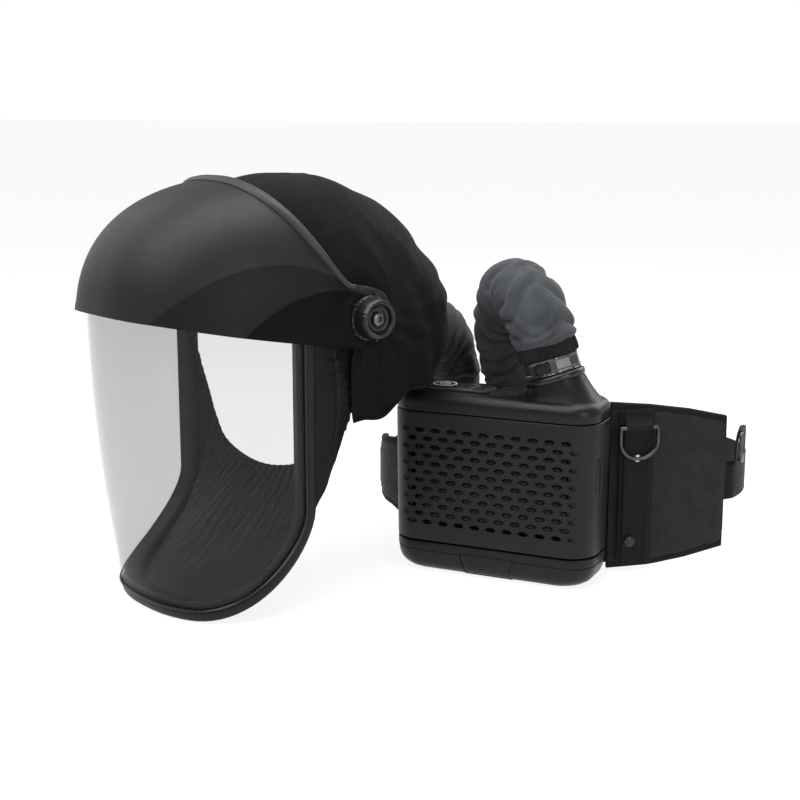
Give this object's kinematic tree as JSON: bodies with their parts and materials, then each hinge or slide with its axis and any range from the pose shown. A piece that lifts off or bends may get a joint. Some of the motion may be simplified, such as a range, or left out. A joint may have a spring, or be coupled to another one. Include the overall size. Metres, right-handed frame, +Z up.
{
  "type": "powered air respirator",
  "caption": "Visor headgear with a cloth hood, fed through a sleeved hose by a belt-worn filter blower on a padded waist belt.",
  "frame": {"origin": "middle of the blower's foot, on the surface that the part rests on", "axes": "+Z up; the blower's front faces -Y; the headgear stands in front of the blower's left end, turned 26 degrees towards -X"},
  "size_m": [0.5308, 0.5827, 0.3811],
  "materials": {
    "shell_black": "fine matte moulded texture",
    "trim_grey": "satin mid-grey moulding",
    "clear_lens": "clear polycarbonate sheet",
    "frame_black": "satin black moulding",
    "foam_black": "closed-cell foam",
    "seal_nylon": "gathered satin nylon",
    "hood_cloth": "black woven cloth",
    "gear_plastic": "plain moulded nylon",
    "knob_plastic": "semi-gloss black",
    "zinc": "zinc plated",
    "dark_steel": "dark nickel",
    "sleeve_grey": "grey flame-resistant cloth sleeve",
    "knit_cuff": "black knitted elastic",
    "silver_collar": "silver-grey smoked moulding",
    "case_black": "smooth satin black",
    "grained_black": "spark-grained black",
    "panel_gloss": "gloss grey-black",
    "window_smoke": "smoked window",
    "filter_paper": "pleated filter medium",
    "board_green": "circuit board",
    "belt_nylon": "ballistic nylon over foam",
    "webbing_black": "woven polyester webbing"
  },
  "bodies": {
    "carrier": {"hood": "hood_cloth", "headband": "gear_plastic", "crown_strap": "gear_plastic", "sweatband": "foam_black", "nape_pad": "foam_black", "ratchet_cover": "gear_plastic", "pivot_arm_left": "gear_plastic", "pivot_arm_right": "gear_plastic", "air_duct": "gear_plastic", "air_diffuser": "gear_plastic", "hose_inlet": "gear_plastic", "breathing_hose": "sleeve_grey", "hose_cuff_blower": "knit_cuff", "outlet_ring": "case_black", "top_cap": "case_black", "control_panel": "panel_gloss", "status_window": "window_smoke", "rear_case": "case_black", "filter_seat": "gear_plastic", "filter_gasket": "foam_black", "particle_filter": "filter_paper", "spark_screen": "zinc", "fan_scroll": "gear_plastic", "fan_motor": "zinc", "circuit_board": "board_green", "belt_plate": "gear_plastic", "lumbar_pad": "belt_nylon", "belt_wing_right": "belt_nylon", "belt_wing_left": "belt_nylon", "webbing_right": "webbing_black", "webbing_left": "webbing_black", "buckle_socket": "gear_plastic", "ring_strap": "webbing_black"},
    "visor": {"brow_shell": "shell_black", "crown_trim": "trim_grey", "visor_lens": "clear_lens", "visor_frame": "frame_black", "brow_seal": "foam_black", "face_seal": "seal_nylon"},
    "clamp_knob_left": {"knob_left": "knob_plastic", "knob_screw_left": "zinc"},
    "clamp_knob_right": {"knob_right": "knob_plastic", "knob_screw_right": "zinc"},
    "ratchet": {"ratchet_knob": "gear_plastic", "ratchet_pinion": "gear_plastic"},
    "nape_left": {"nape_band_left": "gear_plastic"},
    "nape_right": {"nape_band_right": "gear_plastic"},
    "hose_collar": {"hose_connector": "silver_collar"},
    "collar_button": {"connector_button": "case_black"},
    "front_cover": {"filter_cover": "grained_black"},
    "side_latch": {"cover_latch": "case_black"},
    "fan_wheel": {"impeller": "gear_plastic"},
    "battery": {"battery_pack": "case_black"},
    "battery_catch": {"battery_latch": "grained_black"},
    "power_key": {"power_button": "case_black"},
    "ring_front": {"d_ring_front": "dark_steel"},
    "ring_side": {"d_ring_side": "dark_steel"},
    "buckle_insert": {"buckle_plug": "gear_plastic"}
  },
  "joints": [
    {"name": "visor_lift", "type": "hinge", "parent": "carrier", "child": "visor", "pos_m": [-0.176, -0.083, 0.259], "axis": [-0.8988, 0.4384, 0], "range_deg": [0, 60], "deforming": ["hood", "face_seal"]},
    {"name": "knob_left_turn", "type": "hinge", "parent": "visor", "child": "clamp_knob_left", "pos_m": [-0.07515, -0.13218, 0.259], "axis": [0.8988, -0.4384, 0], "range_deg": [0, 90]},
    {"name": "knob_right_turn", "type": "hinge", "parent": "visor", "child": "clamp_knob_right", "pos_m": [-0.27685, -0.03381, 0.259], "axis": [-0.8988, 0.4384, 0], "range_deg": [0, 90]},
    {"name": "ratchet_turn", "type": "hinge", "parent": "carrier", "child": "ratchet", "pos_m": [-0.13216, 0.00688, 0.283], "axis": [-0.4384, -0.8988, 0], "range_deg": [0, 120]},
    {"name": "nape_left_slide", "type": "slide", "parent": "carrier", "child": "nape_left", "axis": [-0.8988, 0.4384, 0], "range_m": [0, 0.0132]},
    {"name": "nape_right_slide", "type": "slide", "parent": "carrier", "child": "nape_right", "axis": [0.8988, -0.4384, 0], "range_m": [0, 0.0132]},
    {"name": "collar_twist", "type": "hinge", "parent": "carrier", "child": "hose_collar", "pos_m": [0.06, 0, 0.17], "axis": [-0.309, 0, 0.9511], "range_deg": [0, 40]},
    {"name": "collar_button_press", "type": "slide", "parent": "hose_collar", "child": "collar_button", "axis": [0, 1, 0], "range_m": [0, 0.0012], "stiffness_N_per_m": 600},
    {"name": "front_cover_pull", "type": "slide", "parent": "carrier", "child": "front_cover", "axis": [0, -1, 0], "range_m": [0, 0.035]},
    {"name": "side_latch_press", "type": "slide", "parent": "front_cover", "child": "side_latch", "axis": [-1, 0, 0], "range_m": [0, 0.0015], "stiffness_N_per_m": 800},
    {"name": "fan_spin", "type": "hinge", "parent": "carrier", "child": "fan_wheel", "pos_m": [-0.02, 0, 0.094], "axis": [0, 1, 0], "continuous": true},
    {"name": "battery_slide", "type": "slide", "parent": "carrier", "child": "battery", "axis": [0, -1, 0], "range_m": [0, 0.08]},
    {"name": "battery_catch_press", "type": "slide", "parent": "battery", "child": "battery_catch", "axis": [0, 1, 0], "range_m": [0, 0.0018], "stiffness_N_per_m": 800},
    {"name": "power_key_press", "type": "slide", "parent": "carrier", "child": "power_key", "axis": [0, 0, -1], "range_m": [0, 0.0008], "stiffness_N_per_m": 900},
    {"name": "ring_front_swing", "type": "hinge", "parent": "carrier", "child": "ring_front", "pos_m": [0.12082, 0.04817, 0.142], "axis": [-0.7809, -0.6247, 0], "range_deg": [0, 110]},
    {"name": "ring_side_swing", "type": "hinge", "parent": "carrier", "child": "ring_side", "pos_m": [0.20092, 0.13211, 0.13], "axis": [0.1392, -0.9903, 0], "range_deg": [0, 110]},
    {"name": "buckle_release", "type": "slide", "parent": "carrier", "child": "buckle_insert", "axis": [1, 0, 0], "range_m": [0, 0.03], "deforming": ["webbing_right"]}
  ],
  "couplings": [
    {"joint": "nape_left_slide", "follows": "ratchet_turn", "m_per_rad": 0.0063},
    {"joint": "nape_right_slide", "follows": "ratchet_turn", "m_per_rad": 0.0063}
  ]
}
